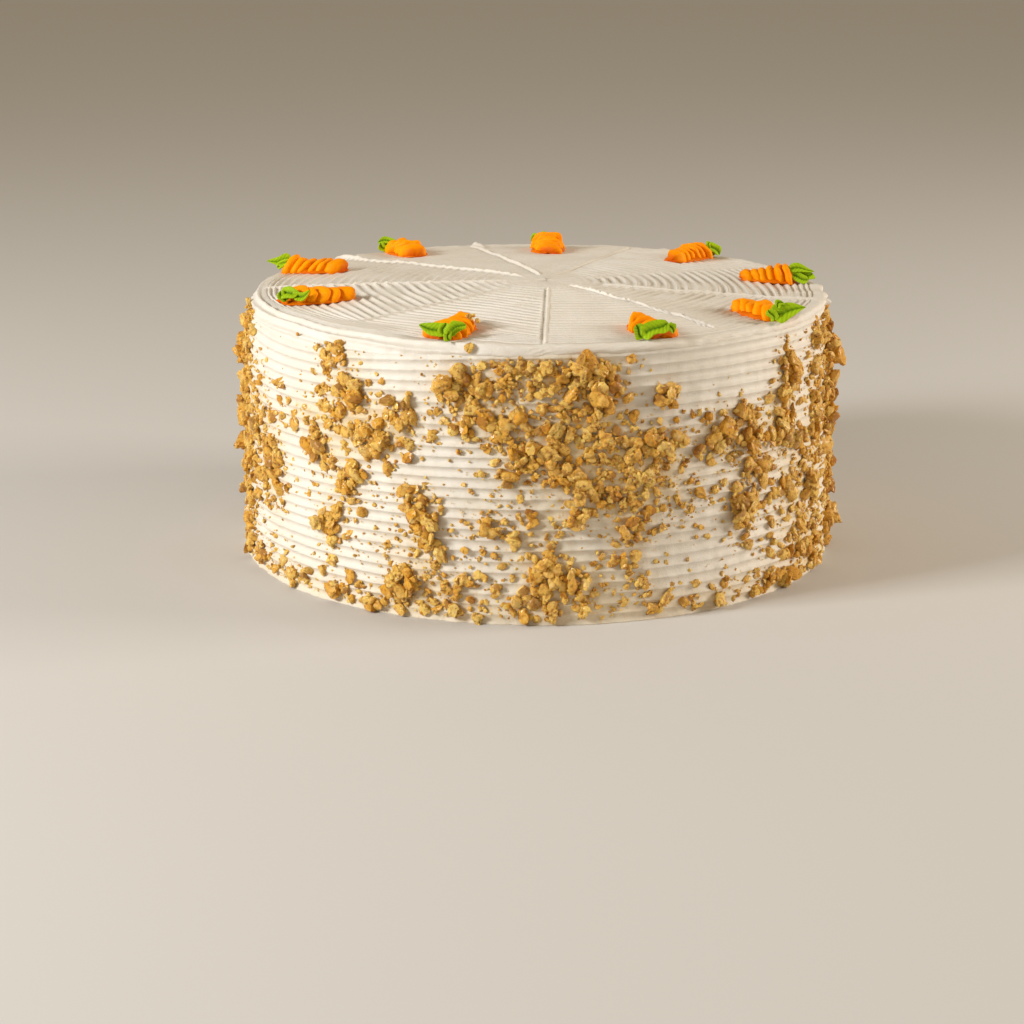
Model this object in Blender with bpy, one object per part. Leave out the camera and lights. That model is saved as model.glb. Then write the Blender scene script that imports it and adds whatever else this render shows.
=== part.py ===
"""A whole, uncut carrot cake: one frosted drum with combed sides, a slightly domed top marked into
nine portions, a piped icing carrot with green leaves on each portion, and clumps of chopped walnut
pressed into the side.

Units are metres, +Z is up, the origin is the centre of the flat underside. Bearings are degrees
turned anticlockwise from +X, seen from above; the front of the cake looks along -Y.
"""
import math
import random

import bmesh
import bpy
from mathutils import Matrix, Vector

# ---- driving dimensions of the cake ----
SHOULDER_RADIUS = 0.1152      # crest of the frosting just under the top edge
FOOT_RADIUS = 0.1192          # crest of the frosting at the base
SIDE_HEIGHT = 0.1030          # base to the top edge
DOME_RISE = 0.0042            # how much higher the middle of the top is
EDGE_ROUNDING = 0.0036        # radius of the rolled top edge
COMB_PITCH = 0.0041           # from one tooth of the icing comb to the next
COMB_DEPTH = 0.0011           # groove depth on the side

# ---- portion marks and the grid they are cut on ----
PORTION_BEARINGS = (-89, -51, -11, 29, 68, 106, 139, 179, 225)
MARK_DEPTH = 0.0012           # groove of a portion mark
MARK_LIP = 0.0008             # frosting pushed up beside the groove
MARK_LIP_TURN = 1.3           # degrees from the groove to its lip
STEPS_PER_PORTION = 4         # facets of a portion between two marks
TOP_RING_SHARES = (0.94, 0.78, 0.58, 0.36, 0.14)

# ---- icing carrots: (bearing of the middle, bearing the head points to, distance of the middle
#      from the cake's axis in mm, length in mm), from the front left round to the left ----
CARROT_SEATS = ((-107, -107, 97, 26), (-67, -75, 100, 25), (-35, -45, 103, 25), (8, -1, 97, 26),
                (46, 55, 93, 27), (87, 88, 86, 27), (125, 117, 97, 27), (160, 156, 99, 28),
                (202, 193, 91, 28))
CARROT_TIP_WIDTH = 0.0078
CARROT_HEAD_WIDTH = 0.0152
CARROT_TIP_HEIGHT = 0.0048
CARROT_HEAD_HEIGHT = 0.0066
CARROT_LOBES = 6              # passes of the piping tip
LOBE_PINCH = 0.80             # size of the waist between two lobes
ARCH_POINTS = 7               # points over the arch of a carrot's section
HEAD_SLANT = 1.10             # how far the head leans back under the leaves, per metre of height

# ---- leaves ----
LEAF_LENGTH = 0.0048          # how far the leaves reach out past the head
LEAF_WIDTH = 0.0136
LEAF_THICKNESS = 0.0040
LEAF_RISE = 0.0046            # height of the leaves' middle over the frosting
LEAF_STATIONS = ((0.00, 0.78, 1.00), (0.30, 1.00, 0.95), (0.62, 0.74, 0.72), (0.86, 0.38, 0.45),
                 (1.00, 0.12, 0.25))   # (share of length, share of width, share of thickness)

# ---- walnut clumps: (bearing, height in mm, breadth in mm) ----
FRONT_CLUMPS = ((-130, 95, 11), (-126, 83, 12), (-115, 76, 13), (-120, 64, 11), (-134, 60, 12),
                (-148, 47, 11), (-126, 48, 12), (-111, 37, 14), (-131, 30, 11), (-114, 13, 12),
                (-103, 86, 13), (-95, 92, 11), (-88, 90, 12), (-81, 94, 12), (-79, 81, 11),
                (-66, 84, 11), (-92, 63, 13), (-79, 67, 12), (-84, 54, 12), (-72, 51, 12),
                (-68, 65, 11), (-73, 34, 11), (-88, 19, 13), (-55, 66, 12), (-47, 63, 12),
                (-37, 62, 12), (-35, 85, 13), (-49, 37, 14))
BACK_CLUMPS = 12
BACK_START, BACK_TURN = -10, 17.5          # first bearing behind, and degrees between clumps
BACK_LEVELS = (0.62, 0.14, 0.80, 0.36)     # shares of the side's height that they take in turn
CLUMP_HEIGHT_SHARE = 0.90
CLUMP_DEPTH_SHARE = 0.46
CLUMP_SIDES = 6

GAP = 0.0003                  # clearance between pieces that touch
SEED = 11

FINISHES = {                  # base colour, roughness
    "frosting": ((0.86, 0.80, 0.68, 1.0), 0.45),
    "carrot_icing": ((0.93, 0.27, 0.012, 1.0), 0.42),
    "leaf_icing": ((0.22, 0.40, 0.025, 1.0), 0.40),
    "walnut": ((0.50, 0.27, 0.075, 1.0), 0.60),
}


def clear_scene():
    """Takes every object out of the open file."""
    for obj in list(bpy.data.objects):
        bpy.data.objects.remove(obj, do_unlink=True)


def make_finish(name):
    """A Principled material of that name."""
    colour, roughness = FINISHES[name]
    material = bpy.data.materials.new(name)
    material.use_nodes = True
    shader = material.node_tree.nodes["Principled BSDF"]
    shader.inputs["Base Color"].default_value = colour
    shader.inputs["Roughness"].default_value = roughness
    shader.inputs["Metallic"].default_value = 0.0
    material.diffuse_color = colour
    return material


def add_object(name, mesh_data, material):
    """Links one solid to the scene, shaded smooth but for its sharp folds."""
    obj = bpy.data.objects.new(name, mesh_data)
    bpy.context.scene.collection.objects.link(obj)
    mesh_data.materials.append(material)
    mesh_data.shade_smooth()
    mesh_data.set_sharp_from_angle(angle=math.radians(40))
    return obj


def loft(name, rings):
    """A closed mesh through equal rings of points, with a flat cap on the first and last ring."""
    shell = bmesh.new()
    loops = [[shell.verts.new(point) for point in ring] for ring in rings]
    count = len(rings[0])
    for lower, upper in zip(loops, loops[1:]):
        for i in range(count):
            j = (i + 1) % count
            shell.faces.new((lower[i], lower[j], upper[j], upper[i]))
    shell.faces.new(loops[0][::-1])
    shell.faces.new(loops[-1])
    bmesh.ops.recalc_face_normals(shell, faces=shell.faces)
    mesh_data = bpy.data.meshes.new(name)
    shell.to_mesh(mesh_data)
    shell.free()
    return mesh_data


# ---- the frosted cake ----
def wall_radius(height):
    """Crest radius of the frosted side at a height."""
    return FOOT_RADIUS + (SHOULDER_RADIUS - FOOT_RADIUS) * height / SIDE_HEIGHT


def dome_height(radius):
    """Height of the top at a distance from the axis: a shallow dome."""
    return SIDE_HEIGHT + DOME_RISE * (1.0 - (radius / SHOULDER_RADIUS) ** 2)


def grid_bearings():
    """(bearing, kind) round the cake: each portion mark, its lip, and even steps to the next one."""
    marks = list(PORTION_BEARINGS) + [PORTION_BEARINGS[0] + 360]
    columns = []
    for here, following in zip(marks, marks[1:]):
        columns.append((here, "mark"))
        columns.append((here + MARK_LIP_TURN, "lip"))
        start = here + MARK_LIP_TURN
        for step in range(1, STEPS_PER_PORTION + 1):
            columns.append((start + (following - start) * step / (STEPS_PER_PORTION + 1), "plain"))
    return columns


def side_profile():
    """(radius, height) up the combed side: a groove and a crest for each tooth of the comb."""
    straight = SIDE_HEIGHT - EDGE_ROUNDING
    teeth = round(straight / COMB_PITCH)
    points = []
    for tooth in range(teeth):
        groove = straight * tooth / teeth
        crest = straight * (tooth + 0.5) / teeth
        points.append((wall_radius(groove) - COMB_DEPTH, groove))
        points.append((wall_radius(crest), crest))
    return points


def edge_profile():
    """(radius, height) round the rolled top edge, a quarter circle in three steps."""
    centre_radius = SHOULDER_RADIUS - EDGE_ROUNDING
    centre_height = SIDE_HEIGHT - EDGE_ROUNDING
    return [(centre_radius + EDGE_ROUNDING * math.cos(turn), centre_height + EDGE_ROUNDING * math.sin(turn))
            for turn in (math.radians(angle) for angle in (8, 38, 66, 90))]


def top_relief(kind, radius):
    """How far a portion mark lifts or sinks the top; marks fade at the middle and at the edge."""
    fade = min(1.0, max(0.0, (radius - 0.012) / 0.010), max(0.0, (0.110 - radius) / 0.004))
    return fade * {"mark": -MARK_DEPTH, "lip": MARK_LIP, "plain": 0.0}[kind]


def make_cake(material):
    """The frosted cake, one solid from its flat underside to the dome."""
    columns = grid_bearings()
    inner = SHOULDER_RADIUS - EDGE_ROUNDING
    rings = []
    for radius, height in side_profile() + edge_profile():
        rings.append([(radius, height)] * len(columns))
    for share in TOP_RING_SHARES:
        radius = inner * share
        rings.append([(radius, dome_height(radius) + top_relief(kind, radius)) for _, kind in columns])
    placed = []
    for ring in rings:
        turns = [math.radians(bearing) for bearing, _ in columns]
        placed.append([Vector((r * math.cos(t), r * math.sin(t), z)) for (r, z), t in zip(ring, turns)])
    return add_object("frosted_cake", loft("frosted_cake", placed), material)


# ---- icing carrots and their leaves ----
def seat_matrix(seat):
    """Stands a piece made along +X, with the carrot's middle at the origin, on its seat."""
    bearing, heading = math.radians(seat[0]), math.radians(seat[1])
    distance = seat[2] / 1000.0
    x, y = distance * math.cos(bearing), distance * math.sin(bearing)
    return Matrix.Translation((x, y, 0.0)) @ Matrix.Rotation(heading, 4, "Z")


def set_down(seat, ring):
    """Turns a ring to its seat and lifts it by the dome's height under its middle point."""
    stand = seat_matrix(seat)
    placed = [stand @ Vector(point) for point in ring]
    middle = sum(placed, Vector()) / len(placed)
    lift = dome_height(min(math.hypot(middle.x, middle.y), SHOULDER_RADIUS)) + GAP
    return [point + Vector((0.0, 0.0, lift)) for point in placed]


def carrot_ring(along, width, height, slant):
    """One flat-bottomed arch across a carrot, leaning by slant for each metre of height."""
    points = []
    for step in range(ARCH_POINTS):
        turn = math.pi * step / (ARCH_POINTS - 1)
        up = height * math.sin(turn)
        points.append((along - slant * up, 0.5 * width * math.cos(turn), up))
    return points


def make_carrot(number, seat, material):
    """A piped carrot: overlapping lobes that grow from the tip to the leaves."""
    rows = 2 * CARROT_LOBES
    rings = []
    for row in range(rows + 1):
        share = row / rows
        waist = LOBE_PINCH if row % 2 == 0 else 1.0
        width = (CARROT_TIP_WIDTH + (CARROT_HEAD_WIDTH - CARROT_TIP_WIDTH) * share ** 0.8) * waist
        height = (CARROT_TIP_HEIGHT + (CARROT_HEAD_HEIGHT - CARROT_TIP_HEIGHT) * share) * waist
        along = seat[3] / 1000.0 * (share - 0.5)
        rings.append(set_down(seat, carrot_ring(along, width, height, HEAD_SLANT * share)))
    name = f"carrot_{number}"
    return add_object(name, loft(name, rings), material)


def leaf_ring(along, width, thickness, middle, slant):
    """A two-lobed section, creased along its middle, as a leaf tip leaves the icing."""
    half = 0.5 * width
    outline = ((0.0, 0.10), (0.45, 0.50), (0.90, 0.42), (1.0, 0.0), (0.75, -0.42), (0.0, -0.50))
    right = [(half * across, thickness * up) for across, up in outline]
    left = [(-y, z) for y, z in right[-2:0:-1]]
    return [(along - slant * (middle + z), y, middle + z) for y, z in right + left]


def make_leaves(number, seat, material):
    """The carrot's green top, from the slanted head out to a drooping point."""
    start = 0.5 * seat[3] / 1000.0 + GAP * 2.0
    rings = []
    for share, width_share, thick_share in LEAF_STATIONS:
        along = start + LEAF_LENGTH * share
        middle = LEAF_RISE * (1.0 - 0.35 * share)
        slant = HEAD_SLANT * (1.0 - share)
        ring = leaf_ring(along, LEAF_WIDTH * width_share, LEAF_THICKNESS * thick_share, middle, slant)
        rings.append(set_down(seat, ring))
    name = f"leaves_{number}"
    return add_object(name, loft(name, rings), material)


# ---- walnut clumps ----
def clump_seats(dice):
    """(bearing, height, breadth) of every clump: those in front, then an even scatter behind."""
    seats = [(bearing, height / 1000.0, breadth / 1000.0) for bearing, height, breadth in FRONT_CLUMPS]
    for i in range(BACK_CLUMPS):
        level = BACK_LEVELS[i % len(BACK_LEVELS)]
        height = SIDE_HEIGHT * (level + dice.uniform(-0.05, 0.05))
        seats.append((BACK_START + BACK_TURN * i, height, dice.uniform(0.010, 0.013)))
    return seats


def make_clump(number, seat, dice, material):
    """A faceted nugget with a flat back against the frosting: the hull of three uneven rings."""
    bearing, height, breadth = seat
    turn = math.radians(bearing)
    outward = Vector((math.cos(turn), math.sin(turn), 0.0))
    along = Vector((-math.sin(turn), math.cos(turn), 0.0))
    tall = CLUMP_HEIGHT_SHARE * breadth
    deep = CLUMP_DEPTH_SHARE * breadth
    middle = max(height, 0.5 * tall + 0.001)
    back = wall_radius(middle - 0.5 * tall) + GAP
    nugget = bmesh.new()
    for depth_share, spread in ((0.0, 0.70), (0.45, 1.0), (0.90, 0.62)):
        for side in range(CLUMP_SIDES):
            angle = 2.0 * math.pi * (side + 0.5 * (depth_share > 0.2)) / CLUMP_SIDES
            reach = 0.5 * spread * dice.uniform(0.86, 1.0)
            out = depth_share * deep * (dice.uniform(0.85, 1.1) if depth_share else 0.0)
            nugget.verts.new(outward * (back + out) + along * (breadth * reach * math.cos(angle))
                             + Vector((0.0, 0.0, middle + tall * reach * math.sin(angle))))
    hull = bmesh.ops.convex_hull(nugget, input=nugget.verts)
    loose = [part for part in hull["geom_interior"] + hull["geom_unused"] if isinstance(part, bmesh.types.BMVert)]
    bmesh.ops.delete(nugget, geom=loose, context="VERTS")
    bmesh.ops.recalc_face_normals(nugget, faces=nugget.faces)
    name = f"walnut_{number:02d}"
    mesh_data = bpy.data.meshes.new(name)
    nugget.to_mesh(mesh_data)
    nugget.free()
    return add_object(name, mesh_data, material)


def main():
    clear_scene()
    finishes = {name: make_finish(name) for name in FINISHES}
    make_cake(finishes["frosting"])
    for number, seat in enumerate(CARROT_SEATS, start=1):
        make_carrot(number, seat, finishes["carrot_icing"])
        make_leaves(number, seat, finishes["leaf_icing"])
    dice = random.Random(SEED)
    for number, seat in enumerate(clump_seats(dice), start=1):
        make_clump(number, seat, dice, finishes["walnut"])


main()
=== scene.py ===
# %% [markdown]
# # A carrot cake with combed frosting, piped carrots and chopped walnuts
#
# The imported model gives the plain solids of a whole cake: the frosted drum, nine piped carrots, nine
# tufts of leaves and forty clumps of walnut. This lesson dresses them. Each step first says what the
# thing is on a real cake, then makes it as a surface worked out with numpy.

# %% Load the frame
import math

import bpy
import numpy as np
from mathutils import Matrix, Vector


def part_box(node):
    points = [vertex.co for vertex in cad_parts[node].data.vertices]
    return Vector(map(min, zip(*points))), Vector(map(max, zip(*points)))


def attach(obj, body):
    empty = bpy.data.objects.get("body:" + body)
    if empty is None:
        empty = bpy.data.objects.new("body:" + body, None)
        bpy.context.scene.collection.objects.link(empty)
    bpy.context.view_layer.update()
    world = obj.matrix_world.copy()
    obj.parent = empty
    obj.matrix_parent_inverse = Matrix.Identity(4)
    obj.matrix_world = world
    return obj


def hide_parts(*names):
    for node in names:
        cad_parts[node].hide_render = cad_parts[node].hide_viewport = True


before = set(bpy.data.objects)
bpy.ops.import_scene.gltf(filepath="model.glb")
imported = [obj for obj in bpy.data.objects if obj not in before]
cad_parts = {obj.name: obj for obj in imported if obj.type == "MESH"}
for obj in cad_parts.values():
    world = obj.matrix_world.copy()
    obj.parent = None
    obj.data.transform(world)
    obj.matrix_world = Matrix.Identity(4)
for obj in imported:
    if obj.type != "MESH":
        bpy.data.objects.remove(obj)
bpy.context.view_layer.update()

# %% [markdown]
# ## Driving sizes
# The drum's box gives the two sizes that all else hangs on: how wide the cake is at its foot and how
# high the middle of its top stands. The comb's pitch and the roll of the top edge are what the baker's
# tools leave on any cake, so they are named here in metres.

# %% Driving sizes
MM = 0.001
cake_low, cake_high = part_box("frosted_cake")
FOOT_RADIUS = 0.5 * (cake_high[0] - cake_low[0])
TOP_HEIGHT = cake_high[2]
DOME_RISE = 4.2 * MM
RIM_HEIGHT = TOP_HEIGHT - DOME_RISE
SHOULDER_RADIUS = FOOT_RADIUS - 3.6 * MM
EDGE_ROUNDING = 2.0 * MM
COMB_PITCH = 4.05 * MM
print("foot radius", round(FOOT_RADIUS, 4), "rim height", round(RIM_HEIGHT, 4))

# %% [markdown]
# ## Camera, floor and light
# The cake is seen from a little above, with a long lens, so that the top is a shallow ellipse. The
# light is one large warm window on the left with a soft white room round it. The floor is plain.

# %% Camera
camera_data = bpy.data.cameras.new("camera")
camera_data.sensor_width = 36.0
camera_data.lens = 79.85
camera = bpy.data.objects.new("camera", camera_data)
camera.location = (0.0, -0.9067, 0.2642)
camera.rotation_euler = (math.radians(74.318), 0.0, math.radians(0.628))
bpy.context.scene.collection.objects.link(camera)
bpy.context.scene.camera = camera
bpy.context.scene.view_settings.view_transform = "Standard"


# %% Lights
def aim_at_cake(light, bearing, elevation, distance):
    """Puts a light on a sphere round the middle of the cake: bearing and elevation in degrees."""
    a, e = math.radians(bearing), math.radians(elevation)
    offset = np.array([math.cos(a) * math.cos(e), math.sin(a) * math.cos(e), math.sin(e)])
    light.location = distance * offset + np.array([0.0, 0.0, 0.5 * TOP_HEIGHT])
    light.rotation_euler = (math.pi / 2 - e, 0.0, a + math.pi / 2)


def softbox(name, bearing, elevation, distance, width, height, watts, colour):
    """One rectangular area light that looks at the cake."""
    data = bpy.data.lights.new(name, "AREA")
    data.shape = "RECTANGLE"
    data.size, data.size_y = width, height
    data.energy = watts
    data.color = colour
    light = bpy.data.objects.new(name, data)
    aim_at_cake(light, bearing, elevation, distance)
    bpy.context.scene.collection.objects.link(light)
    return light


softbox("window", -152, 24, 1.5, 0.36, 0.36, 22.0, (0.99, 1.0, 1.01))
softbox("reflector", 0, 17, 1.5, 0.6, 0.6, 17.0, (1.0, 0.93, 0.86))

world = bpy.data.worlds.new("room")
world.use_nodes = True
world.node_tree.nodes["Background"].inputs["Color"].default_value = (1.0, 0.84, 0.62, 1.0)
world.node_tree.nodes["Background"].inputs["Strength"].default_value = 0.43
bpy.context.scene.world = world

# %% [markdown]
# ## Helpers for meshes
# A surface that goes once round is a grid of rows and columns: each row is a closed ring. Two poles
# close it at its ends, so the piece is one closed skin with its faces outward.


# %% Mesh helpers
def ring_faces(rows, columns):
    """(quads, triangles) of closed rings plus two poles, which come last: first row's, then last's."""
    row, column = np.meshgrid(np.arange(rows - 1), np.arange(columns), indexing="ij")
    after = (column + 1) % columns
    quads = np.stack([row * columns + column, row * columns + after,
                      (row + 1) * columns + after, (row + 1) * columns + column], axis=-1).reshape(-1, 4)
    ring = np.arange(columns)
    follow = (ring + 1) % columns
    last = (rows - 1) * columns
    low_fan = np.stack([np.full(columns, rows * columns), follow, ring], axis=-1)
    high_fan = np.stack([np.full(columns, rows * columns + 1), last + ring, last + follow], axis=-1)
    return quads, np.concatenate([low_fan, high_fan])


def add_piece(name, points, quads, triangles, slot):
    """A smooth mesh object at the origin that rides on the cake's body."""
    mesh = bpy.data.meshes.new(name)
    mesh.vertices.add(len(points))
    mesh.vertices.foreach_set("co", np.ascontiguousarray(points, dtype=np.float32).ravel())
    corners = np.concatenate([quads.ravel(), triangles.ravel()]).astype(np.int32)
    starts = np.concatenate([4 * np.arange(len(quads)), quads.size + 3 * np.arange(len(triangles))])
    mesh.loops.add(len(corners))
    mesh.loops.foreach_set("vertex_index", corners)
    mesh.polygons.add(len(starts))
    mesh.polygons.foreach_set("loop_start", starts.astype(np.int32))
    mesh.update(calc_edges=True)
    mesh.shade_smooth()
    piece = bpy.data.objects.new(name, mesh)
    bpy.context.scene.collection.objects.link(piece)
    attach(piece, "root")
    return piece


def joined_faces(quads, triangles, copies, points_each):
    """The faces of `copies` equal meshes that are stored one after another."""
    steps = np.arange(copies)[:, None, None] * points_each
    return (quads + steps).reshape(-1, 4), (triangles + steps).reshape(-1, 3)


def unit_ball(rings, around):
    """Directions of a ball's rings and its two poles, first pole low."""
    tilt = np.pi * (np.arange(rings) + 1.0) / (rings + 1.0)
    turn = np.linspace(0.0, 2.0 * np.pi, around, endpoint=False)
    tilt, turn = np.meshgrid(tilt, turn, indexing="ij")
    grid = np.stack([np.sin(tilt) * np.cos(turn), np.sin(tilt) * np.sin(turn), -np.cos(tilt)], axis=-1)
    return np.concatenate([grid.reshape(-1, 3), [[0.0, 0.0, -1.0]], [[0.0, 0.0, 1.0]]])


def ring_piece(name, grid, first_pole, last_pole, slot):
    """A closed skin from rings of points, shape (rows, columns, 3), and its two poles."""
    points = np.concatenate([grid.reshape(-1, 3), [first_pole], [last_pole]])
    return add_piece(name, points, *ring_faces(grid.shape[0], grid.shape[1]), slot)


def paint(piece, name, values):
    """Stores one number for each vertex, which a material can read by name."""
    layer = piece.data.attributes.new(name, "FLOAT", "POINT")
    layer.data.foreach_set("value", np.asarray(values, dtype=np.float32).ravel())


# %% [markdown]
# ## Helpers for uneven handwork
# Nothing on a cake made by hand is exact. `ripple` is the mean of many cosines with random whole
# turns round the cake, so it closes on itself, and `ease` is the smooth step from 0 to 1.


# %% Unevenness
def ripple(seed, theta, along, turns, waves, count=24):
    """Smooth random relief round the cake, of about -1 to 1.

    Formula: the sum of `count` cosines of (m * theta + w * along + start), with m a random whole
    number of up to `turns`, w a random wave number of up to `waves` per metre, divided by the root
    of half the count, and halved.
    """
    dice = np.random.default_rng(seed)
    total = np.zeros(np.broadcast(theta, along).shape)
    for _ in range(count):
        m = dice.integers(-turns, turns + 1)
        w = dice.uniform(-waves, waves) * 2.0 * np.pi
        total = total + np.cos(m * theta + w * along + dice.uniform(0.0, 2.0 * np.pi))
    return 0.5 * total / math.sqrt(0.5 * count)


def ease(low, high, value):
    """0 below low, 1 above high, and a smooth cubic between."""
    share = np.clip((value - low) / (high - low), 0.0, 1.0)
    return share * share * (3.0 - 2.0 * share)


def turn_from(bearing, theta):
    """Signed angle in radians from a bearing in degrees, between -pi and pi."""
    return (theta - np.radians(bearing) + np.pi) % (2.0 * np.pi) - np.pi


# %% [markdown]
# ## Where the walnuts went
# The baker presses handfuls of chopped walnut against the side, so they sit in patches with bare
# frosting between. Each patch is a bearing in degrees, a height and two spreads in mm, and a weight.
# The same patches roughen the frosting, because pressing nuts in tears the comb's ridges.

# %% Patches of walnut
FRONT_PATCHES = (
    (-172, 66, 6, 24, 1.6), (-166, 40, 8, 24, 0.9), (-158, 60, 7, 10, 0.8), (-150, 44, 8, 12, 1.0),
    (-130, 95, 8, 3, 0.5), (-128, 83, 8, 7, 0.9), (-137, 70, 9, 4, 1.0), (-126, 70, 8, 6, 1.2),
    (-117, 72, 8, 6, 1.3), (-120, 63, 6, 4, 1.0), (-133, 57, 7, 5, 0.9), (-126, 48, 5, 8, 0.8),
    (-131, 30, 5, 8, 0.7), (-113, 45, 5, 4, 0.8), (-110, 34, 4, 10, 1.0), (-117, 26, 8, 5, 0.4),
    (-104, 88, 7, 5, 1.2), (-99, 77, 8, 6, 1.2), (-95, 91, 6, 5, 1.2), (-87, 91, 8, 6, 1.3),
    (-80, 90, 7, 7, 1.1), (-78, 80, 6, 6, 0.9), (-66, 84, 2.5, 2.5, 0.5), (-85, 72, 9, 4, 1.0),
    (-93, 61, 6, 7, 1.1), (-82, 66, 10, 7, 1.1), (-74, 60, 10, 8, 1.1), (-67, 62, 7, 6, 0.9),
    (-84, 53, 8, 5, 0.8), (-72, 50, 8, 6, 1.0), (-64, 46, 8, 8, 0.5), (-76, 45, 6, 5, 0.7),
    (-86, 40, 7, 4, 0.8), (-73, 33, 6, 6, 0.8), (-92, 31, 8, 6, 0.5), (-99, 40, 6, 6, 0.3),
    (-88, 18, 8, 7, 1.2), (-80, 15, 8, 6, 0.9), (-71, 15, 5, 4, 0.5), (-112, 13, 8, 6, 1.1),
    (-102, 14, 7, 5, 0.4), (-55, 66, 6, 6, 1.1), (-48, 64, 7, 6, 1.4), (-38, 63, 6, 6, 1.3),
    (-35, 83, 5, 7, 1.3), (-38, 73, 5, 4, 1.0), (-46, 51, 6, 4, 0.6), (-49, 37, 5, 6, 1.4),
    (-31, 46, 9, 16, 0.8), (-36, 26, 12, 12, 0.5), (-22, 60, 5, 22, 1.1), (-10, 60, 6, 24, 1.5),
    (-8, 26, 6, 16, 1.3), (-24, 14, 10, 8, 0.9))
BACK_TURN, BACK_WEIGHT = 173.0, 0.7
FOOT_BAND = (4.0, 4.5, 0.70)     # mm up, mm of spread, and weight of the ring of nuts at the foot
PATCHES = FRONT_PATCHES + tuple((bearing + BACK_TURN, height, wide, tall, weight * BACK_WEIGHT)
                                for bearing, height, wide, tall, weight in FRONT_PATCHES)


def nut_cover(theta, height):
    """How thickly nuts lie at a place: the sum of a bell over each patch, plus the ring at the foot.

    Formula of a bell: weight * exp(-(arc / wide)^2 / 2 - (rise / tall)^2 / 2).
    """
    rise = height / MM
    total = FOOT_BAND[2] * np.exp(-0.5 * ((rise - FOOT_BAND[0]) / FOOT_BAND[1]) ** 2) + 0.0 * theta
    for bearing, level, wide, tall, weight in PATCHES:
        arc = turn_from(bearing, theta) * FOOT_RADIUS / MM
        total = total + weight * np.exp(-0.46 * (arc / wide) ** 2 - 0.46 * ((rise - level) / tall) ** 2)
    return total


print("patches:", len(PATCHES))

# %% [markdown]
# ## The combed side
# A toothed scraper held against the turning cake scoops a stack of shallow round valleys, and where two
# valleys meet they leave a thin sharp crest. The rows of the grid follow the teeth, six to a tooth and
# closest at the crest, so few rows draw it crisply, and the whole stack sways a little. Where nuts
# were pressed in, the crests are torn and lumpy.


# %% The combed side
def wall_radius(height):
    """Crest radius of the side: a straight line from the foot to the shoulder."""
    return FOOT_RADIUS + (SHOULDER_RADIUS - FOOT_RADIUS) * height / RIM_HEIGHT


def scallop(phase):
    """Height across one tooth of the comb, from 1 on a crest to 0 in the valley: |2 phase - 1| ^ 1.8."""
    return np.abs(2.0 * phase - 1.0) ** 1.8


SIDE_COLUMNS = 648
TOOTH_STEPS = np.array([0.0, 0.10, 0.29, 0.5, 0.71, 0.90])
SIDE_TOP = RIM_HEIGHT - EDGE_ROUNDING
SIDE_TEETH = round(SIDE_TOP / COMB_PITCH - 0.5)
SOFT_EDGE = 6.0 * MM           # how much larger the roll of the top edge is where it is softest


def edge_rounding(theta):
    """Radius of the roll of the top edge: largest at the left, where the comb ran over the edge."""
    soft = np.exp(-(turn_from(214.0, theta) / math.radians(36.0)) ** 2)
    return EDGE_ROUNDING * (1.0 + 0.18 * ripple(25, theta, 0.0, 9, 0)) + SOFT_EDGE * soft


SIDE_COMB_DEPTH = 1.2 * MM


def side_relief(theta, height, phase):
    """How far the frosting stands off the crest line, in metres: grooves, sway, tears and lumps."""
    cover = np.clip(nut_cover(theta, height), 0.0, 1.6)
    faded = 0.5 + 0.5 * ripple(3, theta, height, 9, 25)
    comb = np.clip(1.15 - 0.38 * cover - 0.40 * faded, 0.25, 1.0)
    valley = -SIDE_COMB_DEPTH * comb * (1.0 - scallop(phase))
    sway = 0.45 * MM * ripple(4, theta, height, 7, 12)
    lumps = (0.10 + 0.34 * cover) * MM * ripple(5, theta, height, 110, 150, 48)
    crest_tears = 0.24 * MM * ripple(6, theta, height, 240, 40, 40) * scallop(phase)
    return valley + sway + lumps + crest_tears


def make_side():
    """The side and the flat underside: one closed drum, whose flat inner top the top slab hides."""
    theta = np.linspace(0.0, 2.0 * np.pi, SIDE_COLUMNS, endpoint=False)[None, :]
    tooth, step = np.meshgrid(np.arange(SIDE_TEETH), TOOTH_STEPS, indexing="ij")
    last = [SIDE_TEETH, SIDE_TEETH + 0.15, SIDE_TEETH + 0.5]
    phase = np.append(step.ravel(), np.array(last) - SIDE_TEETH)[:, None]
    level = np.append((tooth + step).ravel(), last)[:, None] / last[-1] * SIDE_TOP
    room = ease(0.0, 8 * MM, level)
    drop = np.maximum(edge_rounding(theta) - EDGE_ROUNDING, 0.0)
    height = level * (1.0 - drop / SIDE_TOP) + room * 0.55 * MM * ripple(7, theta, level, 10, 30)
    radius = wall_radius(height) + side_relief(theta, height, phase)
    grid = np.stack([radius * np.cos(theta), radius * np.sin(theta), height + 0.0 * theta], axis=-1)
    inner = grid[-1] * np.array([0.9, 0.9, 0.0]) + np.array([0.0, 0.0, SIDE_TOP - 1.0 * MM])
    grid = np.concatenate([grid, inner[None]])
    piece = ring_piece("frosting_side", grid, (0.0, 0.0, 0.0), (0.0, 0.0, SIDE_TOP - 1.0 * MM), "frosting")
    bearing = np.arctan2(grid[..., 1], grid[..., 0])
    paint(piece, "oil", np.append(np.clip(nut_cover(bearing, grid[..., 2]), 0.0, 1.3).ravel(), [0.0, 0.0]))
    return piece


frosting_side = make_side()
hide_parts("frosted_cake")
print("side faces:", len(frosting_side.data.polygons))

# %% [markdown]
# ## The ringed top
# The same comb, held on the turning top, draws rings. A knife or wire pressed down nine times then
# marks the portions, and each press pushes up a thin ragged ridge of frosting beside its groove. The
# rings meet at the marks in small corners, like a spider's web, because the comb was drawn portion by
# portion. The columns of the grid crowd together at the marks, where the detail is finest.

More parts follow.
